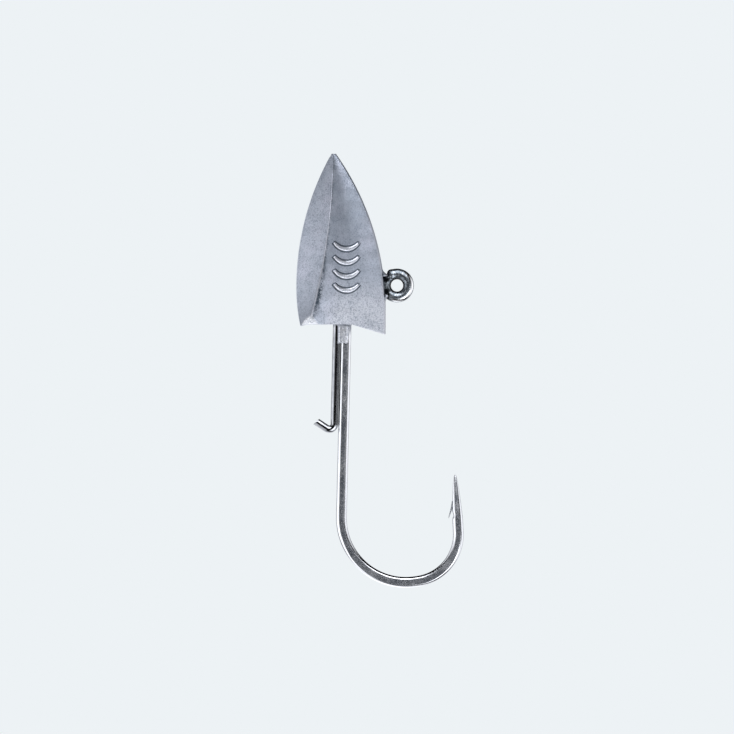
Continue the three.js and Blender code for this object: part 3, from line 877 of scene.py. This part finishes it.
# Painted highlight along the outer shoulders, strongest low down and away from the head.
highlight_side = ramp(np.cos(eye_turn - HIGHLIGHT_SIDE), -0.35, 0.6)
outward_share = np.cos(eye_around)
shoulder = ramp(outward_share, 0.25, 0.5) * (1 - 0.8 * ramp(outward_share, 0.84, 0.94))
mark(line_eye, "painted_highlight", shoulder * (0.3 + 0.7 * highlight_side))
# Painted shade, black, beside the lead and in the bore of the ring.
near_lead = ramp(-eye_grid[..., 0], 0.35, 1.0) * ramp(np.abs(eye_grid[..., 2]), 0.15, 0.45)
in_bore = ramp(-outward_share, 0.62, 0.9) * np.ones_like(eye_turn)
mark(line_eye, "painted_shade", np.maximum(near_lead, in_bore))

SCORCHED_TIN = [
    (0.36, (0.12, 0.14, 0.155)),
    (0.5, (0.3, 0.34, 0.37)),
    (0.66, (0.62, 0.65, 0.66)),
]
BURNT_TIN = (0.07, 0.085, 0.095)
# Near white, for the painted highlight.
HIGHLIGHT_TIN = (0.95, 0.95, 0.94)


def scorched_wire():
    """Wire darkened by the heat of the lead, in blotches, with painted black shade in its bore
    and by the lead, and a painted highlight of near-white tin along the shoulders of its outer
    side."""
    made, tree, shader, where = new_material("scorched_wire")
    blotches = grain(tree, where, 2400.0, 4.0, 0.7)
    speckle = grain(tree, where, 8000.0, 3.0, 0.6)

    scorched = shades(tree, speckle, SCORCHED_TIN)
    burnt = ranged(tree, blotches, 0.42, 0.62, 0.0, 0.75)
    scorched = blend(tree, burnt, scorched, BURNT_TIN)
    # Painted shade, black in patches, in the bore and beside the lead.
    patchy = maths(tree, "MULTIPLY", blotches, 0.8)
    painted_shade = ranged(tree, maths(tree, "ADD", attribute(tree, "painted_shade"), patchy), 0.85, 1.25, 0.0, 1.0)
    black = blend(tree, painted_shade, scorched, BLACK_SHADE)
    # Painted highlight along the outer shoulders, mottled by the speckle.
    sheen_mottle = maths(tree, "ADD", attribute(tree, "painted_highlight"), maths(tree, "MULTIPLY", speckle, 0.5))
    sheen_mottle = ranged(tree, sheen_mottle, 0.75, 1.05, 0.0, 1.0)
    tree.links.new(blend(tree, sheen_mottle, black, HIGHLIGHT_TIN), shader.inputs["Base Color"])

    tree.links.new(ranged(tree, sheen_mottle, 0.0, 1.0, 0.34, 0.18), shader.inputs["Roughness"])
    tree.links.new(bumped(tree, speckle, 0.00002, 0.5), shader.inputs["Normal"])
    return made


line_eye.data.materials.append(scorched_wire())
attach(line_eye, "root")
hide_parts("hook")

# ---- The bait keeper ----
# A length of bright spring wire beside the shank, its top end held in the lead. Its lower end
# is sheared off and turned up and outwards, and keeps the soft bait from sliding down.

KEEPER_RADIUS = 0.379
KEEPER_GAP = 0.015
KEEPER_TOP_Z = -1.6
KEEPER_TURN_Z = -13.88
KEEPER_BEND = (0.5, -122)
KEEPER_BARB = 1.33
KEEPER_STEP = 0.06
KEEPER_SIDES = 40
SHEAR_SLOPE = np.tan(np.radians(14))
SHEAR_LENGTH = 0.5
END_SHARES = np.array([1, 0.985, 0.95, 0.88, 0.75, 0.5, 0.25])
# Heights where the painted shade beside the shank fades out, at the keeper's bend.
KEEPER_SHADE_Z = (-13.9, -13.5)

keeper_apart = WIRE_RADIUS + KEEPER_RADIUS + KEEPER_GAP
keeper_x = shank_x(KEEPER_TOP_Z) - keeper_apart / np.cos(SHANK_LEAN)
keeper_line, keeper_course, keeper_along = wire_line(
    (keeper_x, KEEPER_TOP_Z),
    -90 - np.degrees(SHANK_LEAN),
    [
        ((KEEPER_TOP_Z - KEEPER_TURN_Z) / np.cos(SHANK_LEAN), 0),
        arc(*KEEPER_BEND),
        (KEEPER_BARB, 0),
    ],
    KEEPER_STEP,
)
keeper_around = round_angles(KEEPER_SIDES)


def keeper_skin():
    """A round section carried along the keeper's line, closed by a few shrinking rows at its
    end. Near the end each point is pushed back along the wire by the shear's slope times its
    way from the longest side, so that the end is cut at a slant."""
    rows = np.concatenate([np.arange(len(keeper_line)), np.full(len(END_SHARES), -1)])
    reach = np.concatenate([np.ones(len(keeper_line)), END_SHARES])[:, None]
    inward = KEEPER_RADIUS * reach * np.cos(keeper_around)
    aside = KEEPER_RADIUS * reach * np.sin(keeper_around)
    grid = carried(keeper_line[rows], keeper_course[rows], inward, aside)
    end = keeper_along[-1]
    near_end = ramp(keeper_along[rows], end - SHEAR_LENGTH, end)
    push = near_end[:, None] * (inward * SHEAR_SLOPE - KEEPER_RADIUS * SHEAR_SLOPE)
    grid[..., 0] += push * np.cos(keeper_course[-1])
    grid[..., 2] += push * np.sin(keeper_course[-1])
    return grid


keeper_grid = keeper_skin()
bait_keeper = piece(
    "bait_keeper_wire",
    [(keeper_grid, keeper_grid[0].mean(0), keeper_grid[-1].mean(0))],
)
mark_run(bait_keeper, [keeper_grid])
# Painted shade: the side of the keeper that faces the shank is painted black.
beside_shank = ramp(keeper_grid.mean(1)[:, 2], *KEEPER_SHADE_Z)[:, None]
facing_shank = ramp(np.cos(keeper_around), 0.86, 0.95) * beside_shank
mark(bait_keeper, "gap_shade", np.concatenate([facing_shank.ravel(), [0, 0]]))

SPRING_STEEL = [(0.35, (0.34, 0.35, 0.365)), (0.65, (0.52, 0.53, 0.54))]


def spring_wire():
    """Drawn spring wire, nearly polished, with faint lines along it from the die, and painted
    black shade where it lies against the shank."""
    made, tree, shader, where = new_material("spring_wire")
    lines = drawn_lines(tree, 30.0, 0.7)
    film = grain(tree, where, 1200.0, 4.0, 0.6)
    clean = shades(tree, film, SPRING_STEEL)
    # Painted shade, black, where the keeper lies against the shank.
    colour = blend(tree, attribute(tree, "gap_shade"), clean, BLACK_SHADE)
    tree.links.new(colour, shader.inputs["Base Color"])
    tree.links.new(ranged(tree, lines, 0.3, 0.7, 0.1, 0.2), shader.inputs["Roughness"])
    tree.links.new(bumped(tree, lines, 0.000006, 0.5), shader.inputs["Normal"])
    return made


bait_keeper.data.materials.append(spring_wire())
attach(bait_keeper, "root")
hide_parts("bait_keeper")

# ---- The studio ----
# The jig head hangs as it would on a line, in a dark tent with soft round panels, over a plain
# pale floor. The camera sees pale paper in place of the tent. The floor glows a little to match
# the paper, and the panels alone light the metal.

PAPER = (0.847, 0.888, 0.913)
PANEL_TINT = (0.97, 0.985, 1.045)
FLOOR_Z = -62
FLOOR_RADIUS = 250
FLOOR_HUB = 0.05
FLOOR_RINGS = 12
FLOOR_SIDES = 128
FLOOR_COLOUR = (0.3, 0.31, 0.32, 1)
FLOOR_GLOW = (0.66, 0.688, 0.698, 1)


def floor_disc():
    """A flat disc of rings, with one many-sided face in its middle."""
    turned = round_angles(FLOOR_SIDES)
    reach = FLOOR_RADIUS * np.linspace(FLOOR_HUB, 1, FLOOR_RINGS)[:, None]
    level = np.full((FLOOR_RINGS, FLOOR_SIDES), FLOOR_Z)
    points = np.stack([reach * np.cos(turned), reach * np.sin(turned), level], -1)
    index = np.arange(FLOOR_RINGS * FLOOR_SIDES).reshape(FLOOR_RINGS, FLOOR_SIDES)
    beside = np.roll(index, -1, 1)
    quads = np.stack([index[:-1], index[1:], beside[1:], beside[:-1]], -1).reshape(-1, 4)
    faces = quads.tolist() + [index[0].tolist()]
    return mesh_object("floor", points.reshape(-1, 3), faces, smooth=False)


floor = floor_disc()
floor.visible_glossy = False
floor.visible_diffuse = False
floor.visible_shadow = False
floor_paper, _, floor_shader, _ = new_material("floor_paper")
floor_shader.inputs["Metallic"].default_value = 0
floor_shader.inputs["Base Color"].default_value = FLOOR_COLOUR
floor_shader.inputs["Emission Color"].default_value = FLOOR_GLOW
floor_shader.inputs["Emission Strength"].default_value = 1.0
floor_shader.inputs["Roughness"].default_value = 0.9
floor.data.materials.append(floor_paper)

world = bpy.data.worlds.new("tent")
bpy.context.scene.world = world
world.use_nodes = True
sky = world.node_tree
sky.nodes.clear()
towards = node(sky, "ShaderNodeTexCoord").outputs["Generated"]


def hang_panel(glow, azimuth, elevation, core, edge, brightness):
    """Adds a soft round panel to the tent: full inside its core and gone at its edge, by the
    cosine of the angle to its middle. Azimuth 0 is towards the camera and 90 to its right."""
    side, up = np.radians(azimuth), np.radians(elevation)
    middle = (np.sin(side) * np.cos(up), -np.cos(side) * np.cos(up), np.sin(up))
    sockets = {0: towards, 1: middle}
    angle = node(sky, "ShaderNodeVectorMath", sockets, operation="DOT_PRODUCT").outputs["Value"]
    low, high = np.cos(np.radians([edge, core]))
    return maths(sky, "ADD", glow, ranged(sky, angle, low, high, 0.0, brightness))


# The main light is low in front, right of the camera, and one over the camera fills the flats.
# Between them the front stays dark, and so do round wires where they face it.
glow = hang_panel(0.0, 38, -33, 14, 30, 3.3)
glow = hang_panel(glow, 10, 47, 14, 32, 4.5)
# Wide panels on the left and the right light the belly and the rounds of the wires.
glow = hang_panel(glow, 295, -22, 15, 45, 1.6)
glow = hang_panel(glow, 255, 10, 10, 40, 0.9)
glow = hang_panel(glow, 100, -5, 15, 45, 1.15)
# Two more, behind and below, keep outlines and the underside from going black.
glow = hang_panel(glow, 180, -20, 20, 48, 0.9)
glow = hang_panel(glow, 215, -60, 10, 42, 1.2)

from_camera = node(sky, "ShaderNodeLightPath").outputs["Is Camera Ray"]
strength = node(sky, "ShaderNodeMix", {0: from_camera, 2: glow, 3: 1.0}, data_type="FLOAT")
sockets = {
    "Color": blend(sky, from_camera, PANEL_TINT, PAPER),
    "Strength": strength.outputs[0],
}
shine_out = node(sky, "ShaderNodeBackground", sockets)
node(sky, "ShaderNodeOutputWorld", {"Surface": shine_out.outputs["Background"]})

# The camera looks level along +Y. Its distance is the width of the view, in metres, times the
# lens over the sensor.
LENS = 300
SENSOR = 36
VIEW_WIDTH = 0.0734
VIEW_CENTRE = (-0.003, -0.00815)

scene = bpy.context.scene
scene.view_settings.view_transform = "Standard"
scene.view_settings.look = "None"
lens = bpy.data.cameras.new("camera")
lens.lens = LENS
lens.sensor_width = SENSOR
lens.clip_start = 0.01
lens.clip_end = 10
camera = bpy.data.objects.new("camera", lens)
camera.location = (VIEW_CENTRE[0], -VIEW_WIDTH * LENS / SENSOR, VIEW_CENTRE[1])
camera.rotation_euler = (np.radians(90), 0, 0)
scene.collection.objects.link(camera)
scene.camera = camera
